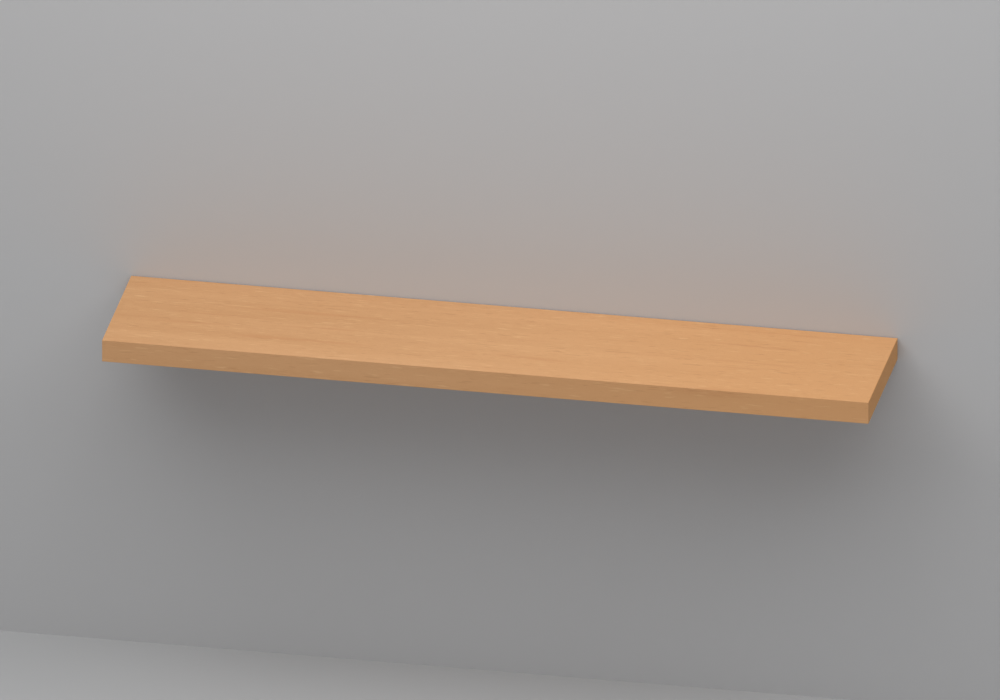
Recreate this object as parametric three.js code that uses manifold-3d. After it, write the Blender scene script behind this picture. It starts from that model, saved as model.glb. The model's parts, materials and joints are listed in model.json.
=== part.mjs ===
// Floating wall shelf: a hollow veneered board on steel rods that stand out of a hidden wall rail.
// Millimetres. +X runs along the shelf, +Y into the wall, +Z up.
// The origin is the centre of the wall rail's back face, which lies on the wall.
import * as THREE from "three";
import { mergeVertices } from "three/addons/utils/BufferGeometryUtils.js";
import Module from "manifold-3d";

const wasm = await Module();
wasm.setup();

// The board's outer size and its place on the wall
const shelfLength = 1000;
const shelfDepth = 198;
const shelfHeight = 30;
const wallGap = 1;

// The skins of the board
const veneerThickness = 0.6;
const bandThickness = 1;
const panelThickness = 4;

// The core frame between the skins
const frontRailDepth = 40;
const rearRailDepth = 40;
const midRailDepth = 30;
const midRailSetback = 8;
const endRailWidth = 40;

// The dowels of the frame's butt joints
const dowelDiameter = 8;
const dowelLength = 30;
const dowelChamfer = 1;
const dowelEndGap = 1;

// The paper honeycomb between the rods
const cellSize = 22.5;
const paperThickness = 0.5;
const padGap = 1;

// The wall rail
const wallRailThickness = 4;
const wallRailHeightGap = 0.4;
const wallRailEndGap = 9;
const wallRailCornerRadius = 2;

// The rods and the screws that hold them to the rail
const rodDiameter = 12;
const rodCount = 4;
const rodEndInset = 60;
const rodTipGap = 4;
const rodChamfer = 1.5;
const rodScrewDiameter = 6;
const rodScrewLength = 16;
const rodScrewHeadDiameter = 11;
const rodScrewSocketWidth = 4;
const rodScrewSocketDepth = 2.4;
const rodHoleSpare = 2;

// The wall screws
const wallScrewDiameter = 5;
const wallScrewLength = 35;
const wallScrewHeadDiameter = 9.5;
const wallScrewTipLength = 7;
const wallScrewEndInset = 25;
const crossWidth = 5;
const crossThickness = 1;
const crossDepth = 2;

// The countersunk heads of both kinds of screw
const headRim = 0.3;
const headRecess = 0.2;

// The locking screws and their threaded inserts
const lockDiameter = 6;
const lockRecess = 0.4;
const lockChamfer = 0.6;
const lockSocketWidth = 3;
const lockSocketDepth = 3.5;
const insertDiameter = 9;
const insertRecess = 0.3;
const insertRoof = 1.6;

// What all fits share: the clearance round a fitted piece, the overrun of a cut, the steps of a circle
const fitGap = 0.3;
const cutOverrun = 1;
const roundSteps = 24;
const screwSteps = 16;
const hexSides = 6;
const cornerSteps = 4;

// Levels and lines that the pieces share
const halfLength = shelfLength / 2;
const halfHeight = shelfHeight / 2;
const backY = -wallGap;
const frontY = backY - shelfDepth;
const coreFrontY = frontY + bandThickness;
const coreHalfLength = halfLength - bandThickness;
const panelTopZ = halfHeight - veneerThickness;
const coreTopZ = panelTopZ - panelThickness;
const frontRailBackY = coreFrontY + frontRailDepth;
const endRailInnerX = coreHalfLength - endRailWidth;
const midRailFrontY = frontRailBackY + midRailSetback;
const midRailBackY = midRailFrontY + midRailDepth;
const rearRailBackY = -wallRailThickness;
const rearRailFrontY = rearRailBackY - rearRailDepth;

// Places and sizes of the fittings, from the pieces that carry them
const wallRailHalfLength = endRailInnerX - wallRailEndGap;
const wallRailHeight = 2 * (coreTopZ - wallRailHeightGap);
const rodRadius = rodDiameter / 2;
const rodTipY = frontRailBackY + rodTipGap;
const rodLength = rearRailBackY - rodTipY;
const outerRodX = wallRailHalfLength - rodEndInset;
const rodPitch = 2 * outerRodX / (rodCount - 1);
const rodPlaces = Array.from({ length: rodCount }, (_, i) => i * rodPitch - outerRodX);
const wallScrewBayPlaces = [(rodPlaces.at(-1) + rodPlaces.at(-2)) / 2, rodPlaces.at(-2) / 2];
const wallScrewPlaces = [wallRailHalfLength - wallScrewEndInset, ...wallScrewBayPlaces]
  .flatMap((x) => [-x, x])
  .sort((a, b) => a - b);
const boreRadius = rodRadius + fitGap;
const lockRadius = lockDiameter / 2;
const insertRadius = insertDiameter / 2;
const insertPocketTopZ = -boreRadius - insertRoof;
const insertBottomZ = insertRecess - halfHeight;
const rearRailY = (rearRailBackY + rearRailFrontY) / 2;

// Finishes
const beech = { color: 0xd3a476, roughness: 0.55, metalness: 0 };
const fibreboard = { color: 0x8a6a4a, roughness: 0.8, metalness: 0 };
const coreTimber = { color: 0xd9bf94, roughness: 0.75, metalness: 0 };
const dowelTimber = { color: 0xcfa877, roughness: 0.7, metalness: 0 };
const paper = { color: 0xb99a6b, roughness: 0.95, metalness: 0 };
const zincSteel = { color: 0xb9bcc0, roughness: 0.35, metalness: 1 };
const darkSteel = { color: 0x55575a, roughness: 0.45, metalness: 1 };

const vec = (x, y, z) => new THREE.Vector3(x, y, z);
const alongX = vec(1, 0, 0);
const alongY = vec(0, 1, 0);

// A closed geometry as a solid that can be joined and cut; triangles that shrink to a line are dropped
function toSolid(geometry) {
  const bare = geometry.clone();
  bare.deleteAttribute("normal");
  bare.deleteAttribute("uv");
  const merged = mergeVertices(bare);
  const triVerts = [];
  for (let start = 0; start < merged.index.count; start += 3) {
    const corners = [0, 1, 2].map((k) => merged.index.getX(start + k));
    if (new Set(corners).size === corners.length) {
      triVerts.push(...corners);
    }
  }
  const vertProperties = new Float32Array(merged.attributes.position.array);
  const mesh = new wasm.Mesh({ numProp: 3, vertProperties, triVerts: new Uint32Array(triVerts) });
  return new wasm.Manifold(mesh);
}

function toGeometry(solid) {
  const mesh = solid.getMesh();
  const geometry = new THREE.BufferGeometry();
  geometry.setAttribute("position", new THREE.BufferAttribute(mesh.vertProperties, 3));
  geometry.setIndex(new THREE.BufferAttribute(mesh.triVerts, 1));
  geometry.computeVertexNormals();
  return geometry;
}

function carve(geometry, cutters) {
  const solid = cutters.reduce((rest, cutter) => rest.subtract(toSolid(cutter)), toSolid(geometry));
  return toGeometry(solid);
}

// A round or six-sided cutter between two points
function bore(radius, from, to, steps = roundSteps) {
  const geometry = new THREE.CylinderGeometry(radius, radius, from.distanceTo(to), steps);
  const direction = to.clone().sub(from).normalize();
  geometry.applyQuaternion(new THREE.Quaternion().setFromUnitVectors(alongY, direction));
  const middle = from.clone().add(to).divideScalar(2);
  return geometry.translate(middle.x, middle.y, middle.z);
}

function meshOf(name, geometry, finish) {
  const mesh = new THREE.Mesh(geometry, new THREE.MeshStandardMaterial(finish));
  mesh.name = name;
  return mesh;
}

// A square-edged board between two corners, less its cutters, kept round its own centre
function board(name, finish, low, high, cutters = []) {
  const size = high.clone().sub(low);
  const centre = low.clone().add(high).divideScalar(2);
  const block = new THREE.BoxGeometry(size.x, size.y, size.z);
  const local = cutters.map((cutter) => cutter.clone().translate(-centre.x, -centre.y, -centre.z));
  const mesh = meshOf(name, local.length ? carve(block, local) : block, finish);
  mesh.position.copy(centre);
  return mesh;
}

// A turned piece: its profile runs from the axis, or closes on itself, and y points to its tip
function turned(points, steps = screwSteps) {
  return new THREE.LatheGeometry(points.map(([radius, y]) => new THREE.Vector2(radius, y)), steps);
}

function hexSocket(width, depth) {
  const radius = width / 2 / Math.cos(Math.PI / hexSides);
  return bore(radius, vec(0, -cutOverrun, 0), vec(0, depth, 0), hexSides);
}

// Places on both sides of the middle, with the word that names them
const sides = [["left", -1], ["right", 1]];

// The bores of the rods, the pockets of the inserts and the holes of the dowels, each cut where it is needed
function rodBores(lowY, highY) {
  return rodPlaces.map((x) => bore(boreRadius, vec(x, lowY - cutOverrun, 0), vec(x, highY + cutOverrun, 0)));
}

function insertPocket(side) {
  const x = side * outerRodX;
  const mouth = vec(x, rearRailY, -halfHeight - cutOverrun);
  return bore(insertRadius + fitGap, mouth, vec(x, rearRailY, insertPocketTopZ));
}

function lockHole(side) {
  const x = side * outerRodX;
  return bore(lockRadius + fitGap, vec(x, rearRailY, -halfHeight - cutOverrun), vec(x, rearRailY, 0));
}

const dowelReach = dowelLength / 2 + dowelEndGap;
const dowelJoints = sides.flatMap(([word, side]) => {
  const endRailX = side * (coreHalfLength - endRailWidth / 2);
  const jointX = side * endRailInnerX;
  const midRailY = (midRailFrontY + midRailBackY) / 2;
  return [
    { name: `dowel_front_${word}`, at: vec(endRailX, frontRailBackY, 0), along: alongY },
    { name: `dowel_mid_${word}`, at: vec(jointX, midRailY, 0), along: alongX },
    { name: `dowel_rear_${word}`, at: vec(jointX, rearRailY, 0), along: alongX },
  ];
});

function dowelHoles(place) {
  return dowelJoints.filter(({ name }) => name.includes(place)).map(({ at, along }) => {
    const from = at.clone().addScaledVector(along, -dowelReach);
    return bore(dowelDiameter / 2 + fitGap, from, at.clone().addScaledVector(along, dowelReach), screwSteps);
  });
}

// Steel rail on the wall. The wall screws' countersinks open to the room, the rod screws' to the wall
function makeWallRail() {
  const halfHigh = wallRailHeight / 2;
  const flat = wallRailHalfLength - wallRailCornerRadius;
  const rise = halfHigh - wallRailCornerRadius;
  const outline = new THREE.Shape();
  const quarter = Math.PI / 2;
  outline.absarc(flat, rise, wallRailCornerRadius, 0, quarter);
  outline.absarc(-flat, rise, wallRailCornerRadius, quarter, 2 * quarter);
  outline.absarc(-flat, -rise, wallRailCornerRadius, 2 * quarter, 3 * quarter);
  outline.absarc(flat, -rise, wallRailCornerRadius, 3 * quarter, 4 * quarter);
  const strip = new THREE.ExtrudeGeometry(outline, {
    depth: wallRailThickness,
    bevelEnabled: false,
    curveSegments: cornerSteps,
  });
  strip.rotateX(Math.PI / 2);
  const wallHoles = wallScrewPlaces.map((x) =>
    countersunkHole(x, rearRailBackY, 0, wallScrewDiameter / 2, wallScrewHeadDiameter / 2));
  const rodHoles = rodPlaces.map((x) =>
    countersunkHole(x, 0, rearRailBackY, rodScrewDiameter / 2, rodScrewHeadDiameter / 2));
  return meshOf("wall_rail", carve(strip, [...wallHoles, ...rodHoles]), zincSteel);
}

// A cutter through the rail whose 45 degree countersink opens at faceY; fitGap is square to the cone
function countersunkHole(x, faceY, farY, shankRadius, headRadius) {
  const holeRadius = shankRadius + fitGap;
  const mouthRadius = headRadius + fitGap * Math.SQRT2;
  const coneEnd = headRecess + headRim;
  const coneStart = coneEnd + mouthRadius - holeRadius;
  const cutter = turned([
    [0, -cutOverrun],
    [mouthRadius, -cutOverrun],
    [mouthRadius, coneEnd],
    [holeRadius, coneStart],
    [holeRadius, wallRailThickness + cutOverrun],
    [0, wallRailThickness + cutOverrun],
  ]);
  cutter.rotateX(farY > faceY ? 0 : Math.PI);
  return cutter.translate(x, faceY, 0);
}

// Solid steel rod with a tapped hole in its seat and a chamfered tip
function makeRods() {
  const holeRadius = rodScrewDiameter / 2 + fitGap;
  const holeDepth = rodScrewLength + headRecess - wallRailThickness + rodHoleSpare;
  return rodPlaces.map((x, i) => {
    const rod = meshOf(`support_rod_${i + 1}`, turned([
      [0, holeDepth],
      [holeRadius, holeDepth],
      [holeRadius, 0],
      [rodRadius, 0],
      [rodRadius, rodLength - rodChamfer],
      [rodRadius - rodChamfer, rodLength],
      [0, rodLength],
    ], roundSteps), zincSteel);
    rod.position.set(x, rearRailBackY, 0);
    rod.rotation.x = Math.PI;
    return rod;
  });
}

// A countersunk head on a shank; y runs from the head's face to the tip
function countersunkScrew(headRadius, shankRadius, length, tipLength, tipRadius) {
  return turned([
    [0, 0],
    [headRadius, 0],
    [headRadius, headRim],
    [shankRadius, headRim + headRadius - shankRadius],
    [shankRadius, length - tipLength],
    ...(tipRadius > 0 ? [[tipRadius, length]] : []),
    [0, length],
  ]);
}

function makeRodScrews() {
  const shankRadius = rodScrewDiameter / 2;
  const body = countersunkScrew(
    rodScrewHeadDiameter / 2, shankRadius, rodScrewLength, lockChamfer, shankRadius - lockChamfer,
  );
  return rodPlaces.map((x, i) => {
    const screw = meshOf(
      `rod_screw_${i + 1}`,
      carve(body, [hexSocket(rodScrewSocketWidth, rodScrewSocketDepth)]),
      darkSteel,
    );
    screw.position.set(x, -headRecess, 0);
    screw.rotation.x = Math.PI;
    return screw;
  });
}

// Wood screws with a cross recess, through the rail and into the wall
function makeWallScrews() {
  const body = countersunkScrew(
    wallScrewHeadDiameter / 2, wallScrewDiameter / 2, wallScrewLength, wallScrewTipLength, 0,
  );
  const slotHeight = crossDepth + cutOverrun;
  const slots = [[crossWidth, crossThickness], [crossThickness, crossWidth]].map(([wide, high]) =>
    new THREE.BoxGeometry(wide, slotHeight, high).translate(0, crossDepth - slotHeight / 2, 0));
  return wallScrewPlaces.map((x, i) => {
    const screw = meshOf(`wall_screw_${i + 1}`, carve(body, slots), zincSteel);
    screw.position.set(x, rearRailBackY + headRecess, 0);
    return screw;
  });
}

// Beech veneers over the panels; the bottom one has the two holes of the locking screws
function makeVeneers() {
  const span = (x, y, z) => [vec(-x, coreFrontY, y), vec(x, backY, z)];
  const holes = sides.map(([, side]) => insertPocket(side));
  return [
    board("top_veneer", beech, ...span(coreHalfLength, panelTopZ, halfHeight)),
    board("bottom_veneer", beech, ...span(coreHalfLength, -halfHeight, -panelTopZ), holes),
  ];
}

// Solid beech edge bands: the end ones run from the back edge to the front one, which covers their edges
function makeEdgeBands() {
  const front = board(
    "front_edge_band", beech, vec(-halfLength, frontY, -halfHeight), vec(halfLength, coreFrontY, halfHeight),
  );
  const ends = sides.map(([word, side]) => {
    const nearX = Math.min(side * coreHalfLength, side * halfLength);
    const farX = Math.max(side * coreHalfLength, side * halfLength);
    return board(
      `${word}_edge_band`, beech, vec(nearX, coreFrontY, -halfHeight), vec(farX, backY, halfHeight),
    );
  });
  return [front, ...ends];
}

// Fibreboard panels, glued to the frame and to the honeycomb
function makePanels() {
  const holes = sides.map(([, side]) => insertPocket(side));
  return [
    board(
      "top_panel", fibreboard,
      vec(-coreHalfLength, coreFrontY, coreTopZ), vec(coreHalfLength, backY, panelTopZ),
    ),
    board(
      "bottom_panel", fibreboard,
      vec(-coreHalfLength, coreFrontY, -panelTopZ), vec(coreHalfLength, backY, -coreTopZ), holes,
    ),
  ];
}

// The frame: the rear rail stands back from the board's edge, and its recess takes the wall rail
function makeFrame() {
  const rail = (name, halfWide, lowY, highY, cutters) => board(
    name, coreTimber, vec(-halfWide, lowY, -coreTopZ), vec(halfWide, highY, coreTopZ), cutters,
  );
  const lockCuts = sides.flatMap(([, side]) => [insertPocket(side), lockHole(side)]);
  const rearCuts = [...rodBores(rearRailFrontY, rearRailBackY), ...lockCuts, ...dowelHoles("rear")];
  const midCuts = [...rodBores(midRailFrontY, midRailBackY), ...dowelHoles("mid")];
  const ends = sides.map(([word, side]) => {
    const nearX = Math.min(side * endRailInnerX, side * coreHalfLength);
    const farX = Math.max(side * endRailInnerX, side * coreHalfLength);
    return board(
      `${word}_end_rail`, coreTimber, vec(nearX, frontRailBackY, -coreTopZ), vec(farX, backY, coreTopZ),
      dowelHoles(word),
    );
  });
  return [
    rail("front_rail", coreHalfLength, coreFrontY, frontRailBackY, dowelHoles("front")),
    rail("rear_rail", endRailInnerX, rearRailFrontY, rearRailBackY, rearCuts),
    rail("mid_rail", endRailInnerX, midRailFrontY, midRailBackY, midCuts),
    ...ends,
  ];
}

// Chamfered dowels, half in each of the two pieces that they join
function makeDowels() {
  const radius = dowelDiameter / 2;
  const half = dowelLength / 2;
  return dowelJoints.map(({ name, at, along }) => {
    const dowel = meshOf(name, turned([
      [0, -half],
      [radius - dowelChamfer, -half],
      [radius, dowelChamfer - half],
      [radius, half - dowelChamfer],
      [radius - dowelChamfer, half],
      [0, half],
    ]), dowelTimber);
    dowel.position.copy(at);
    dowel.quaternion.setFromUnitVectors(alongY, along);
    return dowel;
  });
}

// A six-sided cell stands on a corner; its corners are counted from the lowest one, anticlockwise
const [lowest, lowRight, highRight, highest, highLeft, lowLeft] = Array(hexSides).keys();
const cellTurn = 2 * Math.PI / hexSides;

function cellCorner([x, y], radius, number) {
  const angle = (number - hexSides / 4) * cellTurn;
  return new THREE.Vector2(x + radius * Math.cos(angle), y + radius * Math.sin(angle));
}

// One expanded paper pad: as many whole cells as its bay holds, set in the bay's middle
function honeycombPad(name, lowX, highX) {
  const pitch = cellSize + paperThickness;
  const outerRadius = pitch / Math.sqrt(3);
  const innerRadius = cellSize / Math.sqrt(3);
  const rowPitch = outerRadius * 3 / 2;
  const roomX = highX - lowX - 2 * padGap;
  const roomY = rearRailFrontY - midRailBackY - 2 * padGap;
  const cells = Math.max(1, Math.floor((roomX - pitch / 2) / pitch));
  const rows = Math.max(1, 1 + Math.floor((roomY - 2 * outerRadius) / rowPitch));
  const place = (cell, row) => [
    (cell - (cells - 1) / 2) * pitch + (row % 2 - 1 / 2) * pitch / 2,
    (row - (rows - 1) / 2) * rowPitch,
  ];
  const corner = (cell, row, number) => cellCorner(place(cell, row), outerRadius, number);
  const cellNumbers = Array.from({ length: cells }, (_, cell) => cell);
  const rowNumbers = Array.from({ length: rows }, (_, row) => row);
  const lastCell = cells - 1;
  const lastRow = rows - 1;
  const near = cellNumbers.flatMap((cell) => [corner(cell, 0, lowLeft), corner(cell, 0, lowest)]);
  const right = rowNumbers.flatMap((row) =>
    [corner(lastCell, row, lowRight), corner(lastCell, row, highRight)]);
  const far = cellNumbers.toReversed().flatMap((cell) =>
    [corner(cell, lastRow, highest), corner(cell, lastRow, highLeft)]);
  const left = rowNumbers.toReversed().flatMap((row) =>
    [corner(0, row, highLeft), corner(0, row, lowLeft)]);
  const outline = new THREE.Shape([...near, ...right, ...far, ...left.slice(1, -1)]);
  outline.holes = rowNumbers.flatMap((row) => cellNumbers.map((cell) => new THREE.Path(
    Array.from({ length: hexSides }, (_, number) => cellCorner(place(cell, row), innerRadius, number)),
  )));
  const height = 2 * coreTopZ;
  const sheet = new THREE.ExtrudeGeometry(outline, { depth: height, bevelEnabled: false });
  const pad = meshOf(name, sheet.translate(0, 0, -coreTopZ), paper);
  pad.position.set((lowX + highX) / 2, (rearRailFrontY + midRailBackY) / 2, 0);
  return pad;
}

function makeHoneycomb() {
  const stops = [
    -endRailInnerX,
    ...rodPlaces.flatMap((x) => [x - boreRadius, x + boreRadius]),
    endRailInnerX,
  ];
  return Array.from({ length: rodCount + 1 }, (_, i) =>
    honeycombPad(`honeycomb_${i + 1}`, stops[2 * i], stops[2 * i + 1]));
}

// Threaded inserts in the underside, below the outer rods
function makeInserts() {
  const length = insertPocketTopZ - fitGap - insertBottomZ;
  const boreOfThread = lockRadius + fitGap;
  return sides.map(([word, side]) => {
    const insert = meshOf(`threaded_insert_${word}`, turned([
      [boreOfThread, 0],
      [insertRadius, 0],
      [insertRadius, length],
      [boreOfThread, length],
      [boreOfThread, 0],
    ]), zincSteel);
    insert.position.set(side * outerRodX, rearRailY, insertBottomZ);
    insert.rotation.x = Math.PI / 2;
    return insert;
  });
}

// Grub screws that press on the rods from below
function makeLockingScrews() {
  const bottomZ = insertBottomZ + lockRecess;
  const length = -rodRadius - fitGap - bottomZ;
  const body = turned([
    [0, 0],
    [lockRadius - lockChamfer, 0],
    [lockRadius, lockChamfer],
    [lockRadius, length - lockChamfer],
    [lockRadius - lockChamfer, length],
    [0, length],
  ]);
  return sides.map(([word, side]) => {
    const screw = meshOf(
      `locking_screw_${word}`, carve(body, [hexSocket(lockSocketWidth, lockSocketDepth)]), darkSteel,
    );
    screw.position.set(side * outerRodX, rearRailY, bottomZ);
    screw.rotation.x = Math.PI / 2;
    return screw;
  });
}

const wallBracket = new THREE.Group();
wallBracket.add(makeWallRail(), ...makeRods(), ...makeRodScrews(), ...makeWallScrews());

const shelf = new THREE.Group();
shelf.add(...makeVeneers(), ...makeEdgeBands(), ...makePanels(), ...makeFrame());
shelf.add(...makeDowels(), ...makeHoneycomb(), ...makeInserts());

const locks = new THREE.Group();
locks.add(...makeLockingScrews());

const floatingShelf = new THREE.Group();
floatingShelf.add(wallBracket, shelf, locks);

export default floatingShelf;
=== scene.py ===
import json
import math

import bmesh
import bpy
from mathutils import Color, Matrix, Vector


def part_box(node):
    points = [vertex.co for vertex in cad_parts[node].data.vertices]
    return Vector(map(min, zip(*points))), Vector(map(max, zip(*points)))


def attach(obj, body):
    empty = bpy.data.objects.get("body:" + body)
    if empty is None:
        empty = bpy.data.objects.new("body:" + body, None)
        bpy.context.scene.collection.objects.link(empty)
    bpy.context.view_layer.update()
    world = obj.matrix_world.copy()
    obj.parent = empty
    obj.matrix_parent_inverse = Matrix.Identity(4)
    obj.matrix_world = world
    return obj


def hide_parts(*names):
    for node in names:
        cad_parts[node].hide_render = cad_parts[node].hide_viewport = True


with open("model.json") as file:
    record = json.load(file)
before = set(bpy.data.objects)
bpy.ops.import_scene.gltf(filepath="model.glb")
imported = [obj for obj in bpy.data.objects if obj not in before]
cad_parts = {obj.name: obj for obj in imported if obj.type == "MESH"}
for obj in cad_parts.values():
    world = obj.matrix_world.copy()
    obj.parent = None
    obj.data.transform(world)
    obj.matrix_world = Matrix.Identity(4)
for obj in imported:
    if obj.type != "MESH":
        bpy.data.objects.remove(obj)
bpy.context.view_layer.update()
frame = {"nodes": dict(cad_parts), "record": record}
nodes = frame["nodes"]
bodyOf = {node: body for body, names in frame["record"]["behaviour"]["bodies"].items() for node in names}
mm = 0.001
tiny = 1e-6  # places closer than this are one place
rightwards, intoWall, fromWall, upwards = (1, 0, 0), (0, 1, 0), (0, -1, 0), (0, 0, 1)
print("frame loaded,", len(nodes), "nodes")


# Shader helpers

class Wire:  # an output socket of a node tree; arithmetic on wires adds Math nodes
    def __init__(self, tree, socket=None):
        self.tree = tree
        self.socket = socket

    def node(self, kind, inputs, out=0, **settings):
        made = self.tree.nodes.new(kind)
        for name, value in settings.items():
            setattr(made, name, value)
        feed(self.tree, made, inputs)
        return Wire(self.tree, made.outputs[out])

    def maths(self, operation, *values):
        return self.node("ShaderNodeMath", dict(enumerate(values)), operation=operation)

    def __add__(self, other):
        return self.maths("ADD", self, other)

    __radd__ = __add__

    def __sub__(self, other):
        return self.maths("SUBTRACT", self, other)

    def __rsub__(self, other):
        return self.maths("SUBTRACT", other, self)

    def __mul__(self, other):
        return self.maths("MULTIPLY", self, other)

    __rmul__ = __mul__


def feed(tree, made, inputs):
    for key, value in inputs.items():
        if isinstance(value, Wire):
            tree.links.new(value.socket, made.inputs[key])
        else:
            made.inputs[key].default_value = value


def paint(colour):  # levels from 0 to 255, as a colour picker shows them
    return (*Color([level / 255 for level in colour]).from_srgb_to_scene_linear(), 1)


def newFinish(name):  # a material, and the object's own coordinates to build its pattern on
    material = bpy.data.materials.new(name)
    material.use_nodes = True
    return material, Wire(material.node_tree).node("ShaderNodeTexCoord", {}, out="Object")


def surface(material, inputs):
    feed(material.node_tree, material.node_tree.nodes["Principled BSDF"], inputs)
    return material


def stretched(at, factors, shift=(0, 0, 0)):
    return at.node("ShaderNodeVectorMath", {0: at, 1: factors, 2: shift}, operation="MULTIPLY_ADD")


def noise(at, out=0, detail=2.0, roughness=0.5, distortion=0.0):
    inputs = {"Vector": at, "Scale": 1.0, "Detail": detail, "Roughness": roughness, "Distortion": distortion}
    return at.node("ShaderNodeTexNoise", inputs, out)


def between(value, low, high, toLow=0.0, toHigh=1.0):
    inputs = {"Value": value, "From Min": low, "From Max": high, "To Min": toLow, "To Max": toHigh}
    return value.node("ShaderNodeMapRange", inputs, interpolation_type="SMOOTHSTEP")


def mixed(share, first, second):
    return share.node("ShaderNodeMix", {0: share, 6: first, 7: second}, out=2, data_type="RGBA")


def bumped(height, relief):
    return height.node("ShaderNodeBump", {
        "Height": height, "Distance": relief["distance"], "Strength": relief["strength"],
    })


# Wood

beechLook = {
    "base": (211, 161, 115),
    "range": (15, 16, 16),  # from the base to the lightest and to the darkest tone
    "warmer": {"colour": (217, 162, 111), "from": -0.15, "to": 0.45, "share": 0.7},  # to the right
    "tones": {
        "bands": {"length": 0.9, "width": 0.06, "depth": 0.66, "seed": 0.0, "noise": {"detail": 1.0}},
        "lines": {"length": 0.4, "width": 0.018, "depth": 0.4, "seed": 3.1,
                  "noise": {"detail": 1.0, "distortion": 0.15}},
        "fibres": {"length": 0.012, "width": 0.0004, "depth": 0.54, "seed": 8.3, "noise": {"roughness": 0.6}},
        "streaks": {"length": 0.02, "width": 0.0032, "depth": 0.15, "seed": 5.7,
                    "noise": {"detail": 3.0, "roughness": 0.6}},
    },
    "marks": {
        "red": {"colour": (200, 142, 96), "length": 0.2, "width": 0.013, "seed": 1.9,
                "from": 0.6, "to": 0.76, "share": 0.36},
        "pale": {"colour": (233, 190, 142), "length": 0.028, "width": 0.0019, "seed": 4.4,
                 "from": 0.64, "to": 0.73, "share": 0.5},
        "dark": {"colour": (164, 110, 66), "length": 0.026, "width": 0.0018, "seed": 6.2,
                 "from": 0.65, "to": 0.74, "share": 0.3},
        "pores": {"colour": (150, 98, 58), "length": 0.0035, "width": 0.00045, "seed": 9.5,
                  "from": 0.66, "to": 0.74, "share": 0.35},
    },
    "markNoise": {"detail": 1.0},
    "roughness": 0.75,
    "roughnessSpread": 0.05,
    "fibreReach": 0.4,  # how far the fibre tone goes either side of zero
    "specular": 0.1,
    "poreDepth": 0.4,
    "relief": {"distance": 0.06 * mm, "strength": 0.5},
}


def beech(name, lengthwise, shift, depth=1.0, paintedShade=(0, 0, 0)):
    # the grain runs along X where lengthwise is 0 and along Y where it is 1; shift and depth set one sheet
    # apart, and the last argument is painted shade: levels taken off every colour of a face that lies in
    # shade
    look = beechLook
    material, at = newFinish(name)

    # each colour with the painted shade taken off it
    def withPaintedShade(colour):
        return paint([level + step for level, step in zip(colour, paintedShade)])

    def layer(pattern, settings):  # marks as long and as wide as their dictionary says
        factors = [1 / pattern["width"]] * 3
        factors[lengthwise] = 1 / pattern["length"]
        return noise(stretched(at, factors, [place + pattern["seed"] for place in shift]), **settings)

    tones = {kind: (layer(tone, tone["noise"]) - 0.5) * (tone["depth"] * depth)
             for kind, tone in look["tones"].items()}
    masks = {kind: between(layer(mark, look["markNoise"]), mark["from"], mark["to"])
             for kind, mark in look["marks"].items()}
    dark = withPaintedShade([level - step for level, step in zip(look["base"], look["range"])])
    light = withPaintedShade([level + step for level, step in zip(look["base"], look["range"])])
    colour = mixed(sum(tones.values(), 0.5), dark, light)
    warmer = look["warmer"]
    along = at.node("ShaderNodeSeparateXYZ", {0: at}, out="X")
    warmth = between(along, warmer["from"], warmer["to"], 0.0, warmer["share"])
    colour = mixed(warmth, colour, withPaintedShade(warmer["colour"]))
    for kind, mark in look["marks"].items():
        colour = mixed(masks[kind] * (mark["share"] * depth), colour, withPaintedShade(mark["colour"]))
    reach, rough, spread = look["fibreReach"], look["roughness"], look["roughnessSpread"]
    return surface(material, {
        "Base Color": colour,
        "Roughness": between(tones["fibres"], -reach, reach, rough + spread, rough - spread),
        "Specular IOR Level": look["specular"],
        "Normal": bumped(tones["fibres"] - masks["pores"] * look["poreDepth"], look["relief"]),
    })


timberLook = {
    "early": (226, 200, 152),
    "late": (196, 155, 102),
    "rings": {"gap": 3.2 * mm, "from": 0.45, "to": 1.0, "depth": 0.4},
    "pith": (0.11, 0.16, -0.07),
    "taper": 0.03,
    "sway": {"length": 0.4, "width": 0.08, "depth": 0.012},
    "fibres": {"length": 0.045, "width": 0.0011, "from": 0.3, "to": 0.7, "share": 0.25},
    "roughness": 0.72,
    "relief": {"distance": 0.1 * mm, "strength": 0.5},
}


def softwood(name, lengthwise):  # growth rings round a pith that lies outside the bar
    look = timberLook
    material, at = newFinish(name)

    def grown(alongScale, acrossScale):  # one scale along the grain, another across it
        factors = [acrossScale] * 3
        factors[lengthwise] = alongScale
        return factors

    rings, sway, fibres = look["rings"], look["sway"], look["fibres"]
    wander = noise(stretched(at, grown(1 / sway["length"], 1 / sway["width"])), out="Color", detail=1.0)
    straight = stretched(at, grown(look["taper"], 1.0), [-place for place in look["pith"]])
    bent = stretched(wander, [sway["depth"]] * 3, straight)
    fromPith = at.node("ShaderNodeVectorMath", {0: bent}, out="Value", operation="LENGTH")
    wave = at.maths("SINE", fromPith * (2 * math.pi / rings["gap"])) * 0.5 + 0.5
    grain = noise(stretched(at, grown(1 / fibres["length"], 1 / fibres["width"])))
    colour = mixed(between(wave, rings["from"], rings["to"]), paint(look["early"]), paint(look["late"]))
    darker = between(grain, fibres["from"], fibres["to"], 0.0, fibres["share"])
    return surface(material, {
        "Base Color": mixed(darker, colour, paint(look["late"])),
        "Roughness": look["roughness"],
        "Normal": bumped(grain - wave * rings["depth"], look["relief"]),
    })


def mottled(at, look, drawn=(1, 1, 1)):  # clouds and lines, and the tone that the two give together
    cloud, lines, share = look["cloud"], look["lines"], look["cloudShare"]
    clouds = noise(stretched(at, cloud["scales"]), **cloud["noise"])
    scales = [scale * squeeze for scale, squeeze in zip(lines["scales"], drawn)]
    fine = noise(stretched(at, scales), **lines["noise"])
    return clouds, fine, between(clouds * share + fine * (1 - share), look["from"], look["to"])


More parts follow.
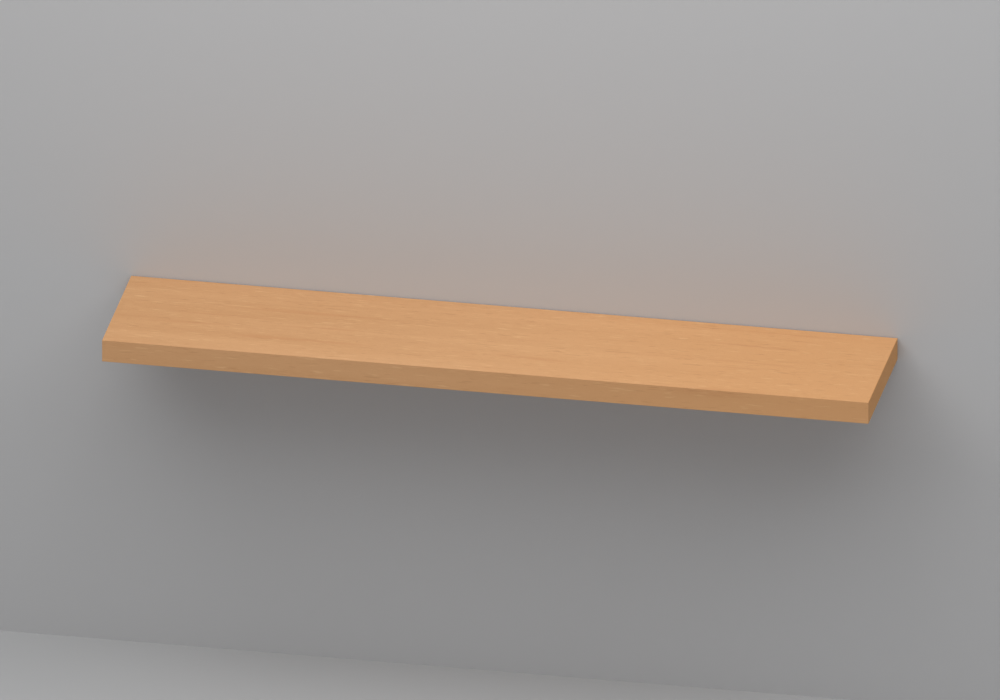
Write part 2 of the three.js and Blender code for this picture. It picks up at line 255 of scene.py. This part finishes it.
boardLook = {
    "light": (168, 132, 92),
    "dark": (116, 84, 54),
    "cloud": {"scales": (700, 700, 1500), "noise": {"detail": 3.0, "roughness": 0.65, "distortion": 0.6}},
    "lines": {"scales": (160, 160, 2600), "noise": {"detail": 3.0, "roughness": 0.7}},
    "cloudShare": 0.5,
    "from": 0.36,
    "to": 0.66,
    "roughness": 0.82,
    "relief": {"distance": 0.12 * mm, "strength": 0.6},
}


def fibreboard(name):
    look = boardLook
    material, at = newFinish(name)
    chips, layers, tone = mottled(at, look)
    return surface(material, {
        "Base Color": mixed(tone, paint(look["dark"]), paint(look["light"])),
        "Roughness": look["roughness"],
        "Normal": bumped(chips + layers, look["relief"]),
    })


paperLook = {
    "light": (196, 162, 114),
    "dark": (158, 124, 82),
    "cloud": {"scales": (420, 420, 420), "noise": {"detail": 4.0, "roughness": 0.7}},
    "lines": {"scales": (260, 260, 2100), "noise": {"detail": 2.0, "distortion": 0.8}},
    "cloudShare": 0.6,
    "from": 0.35,
    "to": 0.65,
    "roughness": 0.92,
    "relief": {"distance": 0.08 * mm, "strength": 0.5},
}


def craftPaper(name):
    look = paperLook
    material, at = newFinish(name)
    pulp, threads, tone = mottled(at, look)
    return surface(material, {
        "Base Color": mixed(tone, paint(look["dark"]), paint(look["light"])),
        "Roughness": look["roughness"],
        "Normal": bumped(pulp, look["relief"]),
    })


# Metal

steelLook = {
    "zinc": {"light": (204, 207, 210), "dark": (178, 183, 188), "roughness": 0.4, "spread": 0.1},
    "dark": {"light": (74, 74, 76), "dark": (46, 46, 49), "roughness": 0.42, "spread": 0.08},
}
steelPattern = {
    "cloud": {"scales": (60, 60, 60), "noise": {"detail": 4.0, "roughness": 0.62}},
    "lines": {"scales": (900, 900, 900), "noise": {"detail": 2.0, "roughness": 0.6}},
    "cloudShare": 0.6,
    "from": 0.35,
    "to": 0.65,
    "relief": {"distance": 0.03 * mm, "strength": 0.4},
}


def steel(name, kind, drawn=(1, 1, 1)):  # drawn: how much the fine lines are squeezed along each axis
    look = steelLook[kind]
    material, at = newFinish(name)
    clouds, grains, tone = mottled(at, steelPattern, drawn)
    return surface(material, {
        "Base Color": mixed(tone, paint(look["dark"]), paint(look["light"])),
        "Metallic": 1.0,
        "Roughness": between(tone, 0.0, 1.0, look["roughness"] + look["spread"], look["roughness"]),
        "Normal": bumped(grains, steelPattern["relief"]),
    })


finishes = {
    "veneer": beech("beechVeneer", 0, (0.0, 0.0, 0.0)),
    "frontBand": beech("beechFrontBand", 0, (3.1, 1.7, 5.2), depth=0.74),
    # the end bands get painted shade, a little darker and less blue, as the end faces look in their light
    "endBand": beech("beechEndBand", 1, (7.3, 2.9, 0.4), depth=0.72, paintedShade=(0, -2, -6)),
    "dowelTimberX": beech("beechDowelX", 0, (4.0, 9.0, 2.0)),
    "dowelTimberY": beech("beechDowelY", 1, (8.0, 1.0, 6.0)),
    "timberX": softwood("coreTimberX", 0),
    "timberY": softwood("coreTimberY", 1),
    "fibreboard": fibreboard("fibreboard"),
    "paper": craftPaper("honeycombPaper"),
    "plate": steel("zincPlate", "zinc", drawn=(0.05, 1, 1)),
    "bar": steel("zincBar", "zinc", drawn=(1, 0.03, 1)),
    "turnedZinc": steel("zincTurned", "zinc", drawn=(0.4, 0.4, 3)),
    "blackened": steel("blackenedSteel", "dark"),
}
print("finishes made,", len(finishes))


# Shape helpers

def meshOf(name, bm):
    bmesh.ops.recalc_face_normals(bm, faces=bm.faces)
    mesh = bpy.data.meshes.new(name)
    bm.to_mesh(mesh)
    bm.free()
    return mesh


def linked(name, data):
    thing = bpy.data.objects.new(name, data)
    bpy.context.scene.collection.objects.link(thing)
    return thing


def finishedMesh(name, bm, finish, sharpFrom=35):  # smooth, but sharp where an edge turns this many degrees
    bmesh.ops.recalc_face_normals(bm, faces=bm.faces)
    bm.normal_update()
    for face in bm.faces:
        face.smooth = True
    for edge in bm.edges:
        edge.smooth = edge.calc_face_angle(0.0) < math.radians(sharpFrom)
    mesh = meshOf(name, bm)
    mesh.materials.append(finishes[finish])
    return mesh


def addPiece(name, mesh, node, place=None):  # stands for a CAD node and rides on that node's body
    piece = linked(name, mesh)
    if place is not None:
        piece.matrix_world = place
    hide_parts(node)
    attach(piece, bodyOf[node])
    return piece


def evenNormals(piece):  # keeps the flat faces flat beside their rounded arrises
    modifier = piece.modifiers.new("evenNormals", "WEIGHTED_NORMAL")
    modifier.keep_sharp = True


def middle(node):
    low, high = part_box(node)
    return (low + high) / 2


def pointing(at, direction):  # sets a piece built along Z at a point, along a direction
    return Matrix.Translation(at) @ Vector(direction).to_track_quat("Z", "Y").to_matrix().to_4x4()


def startOf(node, direction):  # sets a piece built along Z where the node starts, along a direction
    low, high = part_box(node)
    half = [(high[k] - low[k]) / 2 * direction[k] for k in range(3)]
    return pointing(middle(node) - Vector(half), direction)


def block(low, high):
    bm = bmesh.new()
    bmesh.ops.create_cube(bm, size=1)
    for vert in bm.verts:
        vert.co = [high[k] if vert.co[k] > 0 else low[k] for k in range(3)]
    return bm


def turn(rings, steps, closed=False):
    # rings of (height, radius) round Z; a radius may depend on the share of the turn
    bm = bmesh.new()
    loops = []
    for height, radius in rings:
        loop = []
        for k in range(1 if radius == 0 else steps):
            reach = radius(k / steps) if callable(radius) else radius
            angle = 2 * math.pi * k / steps
            loop.append(bm.verts.new((reach * math.cos(angle), reach * math.sin(angle), height)))
        loops.append(loop)
    pairs = list(zip(loops, loops[1:]))
    if closed:
        pairs.append((loops[-1], loops[0]))
    for first, second in pairs:
        for k in range(steps):
            corners = [first[k % len(first)], first[(k + 1) % len(first)],
                       second[(k + 1) % len(second)], second[k % len(second)]]
            bm.faces.new(list(dict.fromkeys(corners)))
    return bm


def prism(outline, low, high, shrink=1.0):  # outline in XY, from low to high; the top may be smaller
    bm = bmesh.new()
    bottom = [bm.verts.new((x, y, low)) for x, y in outline]
    top = [bm.verts.new((x * shrink, y * shrink, high)) for x, y in outline]
    bm.faces.new(bottom[::-1])
    bm.faces.new(top)
    for k in range(len(outline)):
        after = (k + 1) % len(outline)
        bm.faces.new((bottom[k], bottom[after], top[after], top[k]))
    return bm


def rounded(bm, edges, width, steps):
    bmesh.ops.bevel(bm, geom=edges, offset=width, segments=steps, profile=0.5, affect="EDGES")


def carved(name, bm, groups):  # the shape less its cutters, one group of them after another
    body = linked(name, meshOf(name, bm))
    tools = [linked("cutter", meshOf("cutter", group)) for group in groups]
    for tool in tools:
        modifier = body.modifiers.new("cut", "BOOLEAN")
        modifier.operation = "DIFFERENCE"
        modifier.solver = "EXACT"
        modifier.object = tool
    bpy.context.view_layer.update()
    cut = bpy.data.meshes.new_from_object(body.evaluated_get(bpy.context.evaluated_depsgraph_get()))
    made = bmesh.new()
    made.from_mesh(cut)
    bmesh.ops.remove_doubles(made, verts=made.verts, dist=tiny)  # slivers that the cuts leave
    bmesh.ops.dissolve_degenerate(made, edges=made.edges, dist=tiny)
    for mesh in (cut, body.data, *[tool.data for tool in tools]):
        bpy.data.meshes.remove(mesh)  # and with it the object that has it
    return made


def cutters(places, direction, rings, steps=64):  # the same turned cutter at every place
    bm = bmesh.new()
    for at in places:
        one = turn(rings, steps)
        one.transform(pointing(at, direction))
        mesh = meshOf("one", one)
        bm.from_mesh(mesh)
        bpy.data.meshes.remove(mesh)
    return bm


def straightHole(radius, start, end):
    return [(start, 0), (start, radius), (end, radius), (end, 0)]


# Edge bands, with eased arrises where no neighbour covers them

bandShape = {"arris": 0.4 * mm, "steps": 3, "sharpFrom": 60}


def makeBand(node, name, finish, coveredSides):  # each covered side as its axis and its sign
    low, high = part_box(node)
    bm = block(low, high)
    levels = [(axis, (high if sign > 0 else low)[axis]) for axis, sign in coveredSides]
    free = [edge for edge in bm.edges if not any(
        all(abs(vert.co[axis] - level) < tiny for vert in edge.verts) for axis, level in levels)]
    rounded(bm, free, bandShape["arris"], bandShape["steps"])
    mesh = finishedMesh(name, bm, finish, bandShape["sharpFrom"])
    evenNormals(addPiece(name, mesh, node))


makeBand("front_edge_band", "frontEdgeBand", "frontBand", [(1, 1)])
makeBand("left_edge_band", "leftEdgeBand", "endBand", [(0, 1), (1, -1), (1, 1)])
makeBand("right_edge_band", "rightEdgeBand", "endBand", [(0, -1), (1, -1), (1, 1)])
print("edge bands made")


# Bottom skin and bored rails, with their holes

fits = {
    "rodBore": 6.3 * mm,
    "insertPocket": 4.8 * mm,
    "pocketTop": -7.9 * mm,
    "lockHole": 3.3 * mm,
    "dowelHole": 4.3 * mm,
    "dowelHoleReach": 16 * mm,
    "dowelHoleSteps": 32,
    "overrun": 1 * mm,  # how far a cutter starts outside what it cuts
}
rodNodes = [f"support_rod_{k}" for k in range(1, 5)]
lockNodes = ["locking_screw_left", "locking_screw_right"]
rodPlaces = [middle(node) for node in rodNodes]
lockPlaces = [(middle(node).x, middle(node).y, 0) for node in lockNodes]
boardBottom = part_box("bottom_veneer")[0].z - fits["overrun"]


def insertPockets():
    return cutters(lockPlaces, upwards, straightHole(fits["insertPocket"], boardBottom, fits["pocketTop"]))


def makeSkin(node, name, finish):
    bm = carved(name, block(*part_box(node)), [insertPockets()])
    addPiece(name, finishedMesh(name, bm, finish), node)


def makeBoredRail(node, name, locked):
    low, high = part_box(node)
    over, reach = fits["overrun"], fits["dowelHoleReach"]
    starts = [(place.x, low.y - over, 0) for place in rodPlaces]
    ends = [(side * high.x, (low.y + high.y) / 2, 0) for side in (-1, 1)]
    groups = [
        cutters(starts, intoWall, straightHole(fits["rodBore"], 0, high.y - low.y + 2 * over)),
        cutters(ends, rightwards, straightHole(fits["dowelHole"], -reach, reach), fits["dowelHoleSteps"]),
    ]
    if locked:
        groups.append(insertPockets())
        groups.append(cutters(lockPlaces, upwards, straightHole(fits["lockHole"], boardBottom, 0)))
    bm = carved(name, block(low, high), groups)
    addPiece(name, finishedMesh(name, bm, "timberX"), node)


makeSkin("bottom_veneer", "bottomVeneer", "veneer")
makeSkin("bottom_panel", "bottomPanel", "fibreboard")
makeBoredRail("rear_rail", "rearRail", True)
makeBoredRail("mid_rail", "midRail", False)
print("bored skins and rails made")


# Dowels, fluted for the glue

dowelShape = {
    "flutes": 12,
    "stepsPerFlute": 8,
    "fluteDepth": 0.25 * mm,
    "fluteEase": 0.35,  # a larger one makes the flutes narrower and shallower
    "chamfer": 1 * mm,
}


def makeDowel(node, name, lengthwise):
    low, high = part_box(node)
    length = high[lengthwise] - low[lengthwise]
    radius = (high.z - low.z) / 2
    chamfer = dowelShape["chamfer"]

    def fluted(outer):
        def reach(share):
            groove = math.cos(2 * math.pi * share * dowelShape["flutes"])
            return outer - dowelShape["fluteDepth"] * max(0.0, groove - dowelShape["fluteEase"])
        return reach

    rings = [(0, 0), (0, fluted(radius - chamfer)), (chamfer, fluted(radius)),
             (length - chamfer, fluted(radius)), (length, fluted(radius - chamfer)), (length, 0)]
    bm = turn(rings, dowelShape["flutes"] * dowelShape["stepsPerFlute"])
    bm.transform(startOf(node, (rightwards, intoWall)[lengthwise]))
    finish = ("dowelTimberX", "dowelTimberY")[lengthwise]
    addPiece(name, finishedMesh(name, bm, finish), node)


for side in ("left", "right"):
    for kind, lengthwise in (("front", 1), ("mid", 0), ("rear", 0)):
        makeDowel(f"dowel_{kind}_{side}", f"{kind}Dowel{side.capitalize()}", lengthwise)
print("dowels made")


# Wall rail

railShape = {
    "corner": 2 * mm,
    "cornerSteps": 8,
    "arris": 0.3 * mm,
    "arrisSteps": 2,
    "wallHole": 2.8 * mm,
    "wallMouth": 5.17 * mm,
    "rodHole": 3.3 * mm,
    "rodMouth": 5.92 * mm,
    "rim": 0.5 * mm,
    "sharpFrom": 30,
}
wallScrewNodes = [f"wall_screw_{k}" for k in range(1, 7)]
rodScrewNodes = [f"rod_screw_{k}" for k in range(1, 5)]


def countersink(hole, mouth, thickness):
    over, rim = fits["overrun"], railShape["rim"]
    end = thickness + over
    return [(-over, 0), (-over, mouth), (rim, mouth), (rim + mouth - hole, hole), (end, hole), (end, 0)]


def makeWallRail():
    shape = railShape
    low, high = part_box("wall_rail")
    thickness = high.y - low.y
    corner, steps = shape["corner"], shape["cornerSteps"]
    outline = []
    for k, (x, z) in enumerate(((high.x, high.z), (low.x, high.z), (low.x, low.z), (high.x, low.z))):
        centreX, centreZ = x - math.copysign(corner, x), z - math.copysign(corner, z)
        for step in range(steps + 1):
            angle = math.pi / 2 * (k + step / steps)
            outline.append((centreX + corner * math.cos(angle), centreZ + corner * math.sin(angle)))
    bm = prism(outline, 0, thickness)
    rims = [edge for edge in bm.edges if abs(edge.verts[0].co.z - edge.verts[1].co.z) < tiny]
    rounded(bm, rims, shape["arris"], shape["arrisSteps"])
    bm.transform(Matrix.Rotation(math.pi / 2, 4, "X"))
    wallHoles = [(middle(node).x, low.y, 0) for node in wallScrewNodes]
    rodHoles = [(place.x, high.y, 0) for place in rodPlaces]
    bm = carved("wallRail", bm, [
        cutters(wallHoles, intoWall, countersink(shape["wallHole"], shape["wallMouth"], thickness)),
        cutters(rodHoles, fromWall, countersink(shape["rodHole"], shape["rodMouth"], thickness)),
    ])
    addPiece("wallRail", finishedMesh("wallRail", bm, "plate", shape["sharpFrom"]), "wall_rail")


makeWallRail()


# Support rods, tapped at the wall, chamfered and centred at the tip

rodShape = {
    "tap": 3.3 * mm,
    "tapDepth": 14.2 * mm,
    "tapCone": 0.5,  # how deep the drill's cone is, as a share of its radius
    "chamfer": 1.5 * mm,
    "ease": 0.35 * mm,
    "easeAlong": 0.3,  # the middle of each eased corner, as shares of the ease
    "easeIn": 0.08,
    "centreHole": 1.4 * mm,
    "centreDepth": 1.6 * mm,
    "steps": 64,
    "sharpFrom": 40,
}


def makeRod(node, name):
    shape = rodShape
    low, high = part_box(node)
    radius, length = (high.z - low.z) / 2, high.y - low.y
    ease = shape["ease"]
    along, inwards, flank = ease * shape["easeAlong"], ease * shape["easeIn"], ease * math.sqrt(0.5)
    shoulder, tip = length - shape["chamfer"], radius - shape["chamfer"]
    rings = [
        (shape["tapDepth"] + shape["tap"] * shape["tapCone"], 0), (shape["tapDepth"], shape["tap"]),
        (0, shape["tap"]), (0, radius - ease / 2), (ease / 2, radius),
        (shoulder - ease, radius), (shoulder - along, radius - inwards), (shoulder + flank, radius - flank),
        (length - flank, tip + flank), (length - inwards, tip - along), (length, tip - ease),
        (length, shape["centreHole"]), (length - shape["centreDepth"], 0),
    ]
    bm = turn(rings, shape["steps"])
    bm.transform(startOf(node, fromWall))
    addPiece(name, finishedMesh(name, bm, "bar", shape["sharpFrom"]), node)


for k, node in enumerate(rodNodes):
    makeRod(node, f"supportRod{k + 1}")
print("wall rail and rods made")


# Screws and inserts

threadShape = {
    "stepsPerTurn": 10,
    "halfTooth": 0.36,  # half the tooth's width, as a share of the pitch
    "runOut": 0.5,  # how soon the thread ends, as a share of how soon it starts
    "pointPower": 0.75,
}
screwMaking = {"steps": 32, "sharpFrom": 32, "headIn": 0.1 * mm, "headDown": 0.08 * mm, "socketCone": 0.35}


def threaded(start, end, pitch, root, crest, runIn, taper=0.0):
    # rings of a helical thread, which runs to a point over its taper if it has one
    count = round((end - start) / pitch * threadShape["stepsPerTurn"])
    rings = []
    for k in range(count + 1):
        height = start + (end - start) * k / count
        fade = min(1.0, (height - start) / runIn)
        left = 1.0
        if taper:
            left = min(1.0, (end - height) / taper)
        else:
            fade = max(0.0, min(fade, (end - height) / (runIn * threadShape["runOut"])))
        if left <= 0:
            continue

        def reach(share, height=height, fade=fade, narrow=left ** threadShape["pointPower"]):
            phase = (height / pitch - share) % 1.0
            tooth = max(0.0, 1 - abs(phase - 0.5) / threadShape["halfTooth"])
            return narrow * (root + (crest - root) * tooth * fade)
        rings.append((height, reach))
    return rings


def headRings(head, rim, shank):  # a countersunk head
    down, edge = screwMaking["headDown"], head - screwMaking["headIn"]
    return [(0, 0), (0, edge), (down, head), (rim, head), (rim + head - shank, shank)]


def hexSocket(width, depth):  # with a short drill cone at the bottom, as a pressed socket has
    radius, over = width / math.sqrt(3), fits["overrun"]
    cone = depth + radius * screwMaking["socketCone"]
    return turn([(-over, 0), (-over, radius), (depth, radius), (cone, 0)], 6)


def screwMesh(name, rings, socket, finish):
    bm = carved(name, turn(rings, screwMaking["steps"]), [socket])
    return finishedMesh(name, bm, finish, screwMaking["sharpFrom"])


def placeScrews(screwNodes, names, mesh, direction, turns):  # one mesh, each copy turned its own way
    for node, name, angle in zip(screwNodes, names, turns):
        addPiece(name, mesh, node, startOf(node, direction) @ Matrix.Rotation(angle, 4, "Z"))


wallScrewShape = {
    "length": 35 * mm,
    "head": 4.75 * mm,
    "rim": 0.3 * mm,
    "shank": 2.0 * mm,
    "neck": 0.8 * mm,
    "root": 1.65 * mm,
    "crest": 2.5 * mm,
    "pitch": 2.3 * mm,
    "threadStart": 7 * mm,
    "taper": 7 * mm,
    "crossWidth": 4.8 * mm,
    "crossThickness": 1.05 * mm,
    "crossDepth": 2.2 * mm,
    "crossShrink": 0.45,
    "turns": (0.2, 1.1, 2.4, 0.7, 1.8, 2.9),
}


def crossSocket():  # narrower at its bottom, and grown a little where it starts outside the head
    shape, over = wallScrewShape, fits["overrun"]
    wide, thin = shape["crossWidth"] / 2, shape["crossThickness"] / 2
    growth = 1 + over * (1 - shape["crossShrink"]) / shape["crossDepth"]
    outline = []
    for quarter in range(4):
        turnBy = Matrix.Rotation(quarter * math.pi / 2, 2)
        for corner in ((wide, -thin), (wide, thin), (thin, thin)):
            outline.append(turnBy @ Vector(corner) * growth)
    return prism(outline, -over, shape["crossDepth"], shape["crossShrink"] / growth)


def wallScrewRings():
    shape = wallScrewShape
    start, length = shape["threadStart"], shape["length"]
    thread = threaded(start, length, shape["pitch"], shape["root"], shape["crest"], shape["pitch"],
                      shape["taper"])
    shankEnd = (start - shape["neck"], shape["shank"])
    return headRings(shape["head"], shape["rim"], shape["shank"]) + [shankEnd, *thread, (length, 0)]


wallScrew = screwMesh("wallScrew", wallScrewRings(), crossSocket(), "turnedZinc")
wallScrewNames = [f"wallScrew{k}" for k in range(1, 7)]
placeScrews(wallScrewNodes, wallScrewNames, wallScrew, intoWall, wallScrewShape["turns"])

machineThread = {"radius": 3 * mm, "root": 2.45 * mm, "pitch": 1 * mm}
rodScrewShape = {
    "length": 16 * mm,
    "head": 5.5 * mm,
    "rim": 0.3 * mm,
    "neck": 0.6 * mm,
    "socket": 4 * mm,
    "socketDepth": 2.4 * mm,
    "turns": (0.3, 1.4, 0.9, 0.1),
}


def rodScrewRings():
    shape, thread = rodScrewShape, machineThread
    head = headRings(shape["head"], shape["rim"], thread["radius"])
    start, end, pitch = head[-1][0] + shape["neck"], shape["length"], thread["pitch"]
    return head + threaded(start, end, pitch, thread["root"], thread["radius"], pitch) + [(end, 0)]


rodSocket = hexSocket(rodScrewShape["socket"], rodScrewShape["socketDepth"])
rodScrew = screwMesh("rodScrew", rodScrewRings(), rodSocket, "blackened")
rodScrewNames = [f"rodScrew{k}" for k in range(1, 5)]
placeScrews(rodScrewNodes, rodScrewNames, rodScrew, fromWall, rodScrewShape["turns"])

lockScrewShape = {
    "chamfer": 0.6 * mm,
    "end": 0.3 * mm,
    "runIn": 0.8 * mm,
    "cup": 0.7 * mm,
    "socket": 3 * mm,
    "socketDepth": 3.5 * mm,
    "turns": (0.3, 1.4),
}


def lockScrewRings(length):  # a grub screw with a cup point
    shape, thread = lockScrewShape, machineThread
    mouth, end = thread["radius"] - shape["chamfer"], shape["end"]
    turns = threaded(end, length - end, thread["pitch"], thread["root"], thread["radius"], shape["runIn"])
    return [(0, 0), (0, mouth), *turns, (length, mouth - end), (length - shape["cup"], 0)]


lockLow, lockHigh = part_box(lockNodes[0])
lockSocket = hexSocket(lockScrewShape["socket"], lockScrewShape["socketDepth"])
lockScrew = screwMesh("lockingScrew", lockScrewRings(lockHigh.z - lockLow.z), lockSocket, "blackened")
lockNames = ["lockingScrewLeft", "lockingScrewRight"]
placeScrews(lockNodes, lockNames, lockScrew, upwards, lockScrewShape["turns"])

insertShape = {
    "outer": 4.5 * mm,
    "root": 4.0 * mm,
    "pitch": 2.2 * mm,
    "runIn": 0.88 * mm,
    "bore": 3.3 * mm,
    "innerCrest": 3.12 * mm,
    "innerPitch": 1 * mm,
    "mouth": 0.5 * mm,
    "collar": 0.9 * mm,
    "collarEase": 0.15 * mm,
    "collarEnd": 0.8 * mm,
    "end": 0.3 * mm,
    "endStep": 0.2 * mm,
    "steps": 48,
}


def makeInsert(node, name):  # coarse thread outside, fine thread inside
    shape = insertShape
    low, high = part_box(node)
    length = high.z - low.z
    outer, root, bore, mouth, end = (shape[key] for key in ("outer", "root", "bore", "mouth", "end"))
    outside = threaded(shape["collar"], length - end, shape["pitch"], root, outer, shape["runIn"])
    inside = threaded(mouth, length - mouth, shape["innerPitch"], bore, shape["innerCrest"],
                      shape["innerPitch"])
    rings = [(0, bore + mouth), (0, outer - shape["collarEase"]), (shape["collarEase"], outer),
             (shape["collarEnd"], outer), *outside, (length, root - shape["endStep"]), (length, bore + end),
             *inside[::-1]]
    bm = turn(rings, shape["steps"], closed=True)
    bm.transform(startOf(node, upwards))
    addPiece(name, finishedMesh(name, bm, "turnedZinc", screwMaking["sharpFrom"]), node)


for side in ("left", "right"):
    makeInsert(f"threaded_insert_{side}", f"threadedInsert{side.capitalize()}")
print("screws and inserts made")


# Finishes of the CAD nodes that show as they are

keptNodes = {
    "veneer": ["top_veneer"],
    "fibreboard": ["top_panel"],
    "timberX": ["front_rail"],
    "timberY": ["left_end_rail", "right_end_rail"],
    "paper": [f"honeycomb_{k}" for k in range(1, 6)],
}
for finish, names in keptNodes.items():
    for name in names:
        nodes[name].data.materials.clear()
        nodes[name].data.materials.append(finishes[finish])
print("kept nodes finished")


# Wall and floor

stageLook = {
    "wallGrey": (194, 194, 195),
    "floorGrey": (186, 187, 188),
    "roughness": 0.9,
    "wallPlace": 0.6 * mm,  # just behind the rail, so that their faces don't coincide
    "wallTop": 5.0,
    "floorLevel": -0.503,
    "floorFront": -7.0,
    "floorBack": 5.0,
    "halfWidth": 6.0,
}


def stageFinish(name):  # seen from its front only, so that the object shows from behind and below too
    material, at = newFinish(name)
    surface(material, {
        "Base Color": paint(stageLook[name]), "Roughness": stageLook["roughness"], "Specular IOR Level": 0.0,
    })
    back = at.node("ShaderNodeNewGeometry", {}, out="Backfacing")
    clear = at.node("ShaderNodeBsdfTransparent", {})
    solid = Wire(at.tree, at.tree.nodes["Principled BSDF"].outputs[0])
    both = at.node("ShaderNodeMixShader", {0: back, 1: solid, 2: clear})
    feed(at.tree, at.tree.nodes["Material Output"], {"Surface": both})
    return material


def stageSheet(name, near, far, material):  # from its near edge to its far edge, each as (y, z)
    wide = stageLook["halfWidth"]
    mesh = bpy.data.meshes.new(name)
    mesh.from_pydata([(-wide, *near), (wide, *near), (wide, *far), (-wide, *far)], [], [(0, 1, 2, 3)])
    mesh.materials.append(material)
    sheet = linked(name, mesh)
    return sheet


wallFoot = (stageLook["wallPlace"], stageLook["floorLevel"])
wallHead = (stageLook["wallPlace"], stageLook["wallTop"])
wall = stageSheet("wall", wallFoot, wallHead, stageFinish("wallGrey"))
wall.visible_shadow = False  # the lamp behind reaches the shelf's back through it
floorNear = (stageLook["floorFront"], stageLook["floorLevel"])
floorFar = (stageLook["floorBack"], stageLook["floorLevel"])
stageSheet("floor", floorNear, floorFar, stageFinish("floorGrey"))


# Lamps and camera

lamps = {
    "keyLamp": {"azimuth": -28, "elevation": 54, "distance": 2.6, "size": (2.0, 2.0), "watts": 29.3,
                "spread": 180},
    "sideLamp": {"azimuth": 50, "elevation": 60, "distance": 2.6, "size": (2.1, 2.1), "watts": 27.2,
                 "spread": 180},
    "backLamp": {"azimuth": 180, "elevation": 0, "distance": 1.1, "size": (1.5, 0.028), "watts": 0.28,
                 "spread": 40},
}
lampTarget = Vector((0, -0.1, 0))


def bearing(look):  # azimuth 0 is in front of the shelf, 90 on its right
    azimuth, elevation = math.radians(look["azimuth"]), math.radians(look["elevation"])
    level = math.cos(elevation)
    return Vector((math.sin(azimuth) * level, -math.cos(azimuth) * level, math.sin(elevation)))


for name, look in lamps.items():
    lamp = bpy.data.lights.new(name, "AREA")
    lamp.shape = "RECTANGLE"
    lamp.size, lamp.size_y = look["size"]
    lamp.energy = look["watts"]
    lamp.spread = math.radians(look["spread"])
    away = bearing(look)
    linked(name, lamp).matrix_world = pointing(lampTarget + away * look["distance"], away)

worldLook = {"Color": (1, 1, 1, 1), "Strength": 0.36}
world = bpy.data.worlds.new("studio")
world.use_nodes = True
feed(world.node_tree, world.node_tree.nodes["Background"], worldLook)
bpy.context.scene.world = world

cameraLook = {"azimuth": 10.86, "elevation": 25.15, "width": 1.2813, "right": 0.01839, "above": 0.05511,
              "distance": 3.0}
back = bearing(cameraLook)
turnTo = (-back).to_track_quat("-Z", "Y")
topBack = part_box("top_veneer")[1]
aim = Vector((0, topBack.y, topBack.z)) - turnTo @ Vector((cameraLook["right"], cameraLook["above"], 0))
camera = bpy.data.cameras.new("photoCamera")
camera.type = "ORTHO"
camera.ortho_scale = cameraLook["width"]
viewer = linked("photoCamera", camera)
viewer.rotation_mode = "QUATERNION"
viewer.rotation_quaternion = turnTo
viewer.location = aim + back * cameraLook["distance"]
bpy.context.scene.camera = viewer
bpy.context.scene.view_settings.view_transform = "Standard"
print("stage, lamps and camera set")
